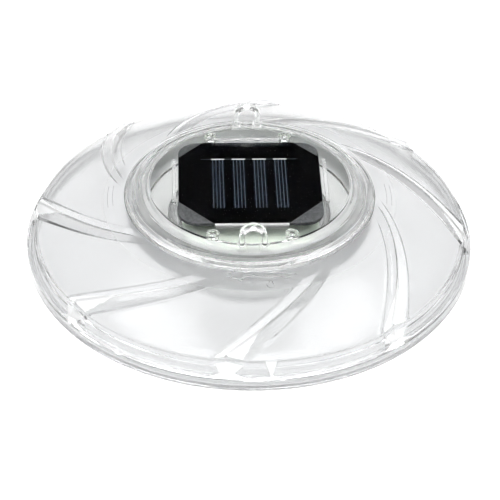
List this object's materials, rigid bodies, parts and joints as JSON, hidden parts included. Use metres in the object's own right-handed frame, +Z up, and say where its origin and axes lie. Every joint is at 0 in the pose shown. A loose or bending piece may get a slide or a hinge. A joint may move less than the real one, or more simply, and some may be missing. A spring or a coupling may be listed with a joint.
{
  "type": "floating pool light",
  "caption": "Clear disc-shaped floating pool light with swirl-ribbed shells and a solar module that twists into the hub, with tether loops and an underside button.",
  "frame": {"origin": "centre of the flat foot ring under the float", "axes": "+Z up through the hub, +Y away from the arrow mark and along the line of the two tether loops"},
  "size_m": [0.18, 0.18, 0.0498],
  "materials": {
    "clear_shell": "clear polished injection moulding with a faint cool tint",
    "clear_module": "clear polished injection moulding",
    "seal": "translucent silicone",
    "button_rubber": "moulded silicone",
    "panel_board": "mottled grey laminate",
    "panel_face": "black laminate",
    "solar_cell": "dark blue silicon with fine collector lines",
    "silver_metal": "tinned",
    "circuit_board": "green solder mask",
    "screw_steel": "plated",
    "led_epoxy": "clear epoxy",
    "component_black": "moulded",
    "component_white": "moulded",
    "holder_black": "moulded",
    "battery_sleeve": "shrink sleeve",
    "wire_red": "insulation",
    "wire_black": "insulation"
  },
  "bodies": {
    "float": {"upper_shell": "clear_shell", "lower_shell": "clear_shell"},
    "light_module": {"module_cover": "clear_module", "module_base": "clear_module", "hub_seal": "seal", "module_seal": "seal", "panel_board": "panel_board", "panel_face_sheet": "panel_face", "solar_cell_1": "solar_cell", "solar_cell_2": "solar_cell", "solar_cell_3": "solar_cell", "solar_cell_4": "solar_cell", "cell_bus_ribbon": "silver_metal", "circuit_board": "circuit_board", "board_screw_1": "screw_steel", "board_screw_2": "screw_steel", "board_screw_3": "screw_steel", "board_screw_4": "screw_steel", "led_1": "led_epoxy", "led_2": "led_epoxy", "led_3": "led_epoxy", "led_4": "led_epoxy", "controller_chip": "component_black", "inductor": "component_black", "resistor": "component_white", "storage_capacitor": "component_black", "battery_cell": "battery_sleeve", "battery_holder": "holder_black", "battery_plate": "silver_metal", "battery_spring": "silver_metal", "button_gasket": "seal", "switch_body": "component_black", "switch_bracket": "component_white", "panel_wire_minus": "wire_black", "panel_wire_plus": "wire_red", "switch_wire_minus": "wire_black", "switch_wire_plus": "wire_red"},
    "button": {"switch_button": "button_rubber"}
  },
  "joints": [
    {"name": "module_twist", "type": "hinge", "parent": "float", "child": "light_module", "pos_m": [0, 0, 0.035], "axis": [0, 0, 1], "range_deg": [-30, 0]},
    {"name": "button_press", "type": "slide", "parent": "light_module", "child": "button", "axis": [0, 0, 1], "range_m": [0, 0.001], "stiffness_N_per_m": 500, "springref_m": -0.001}
  ]
}
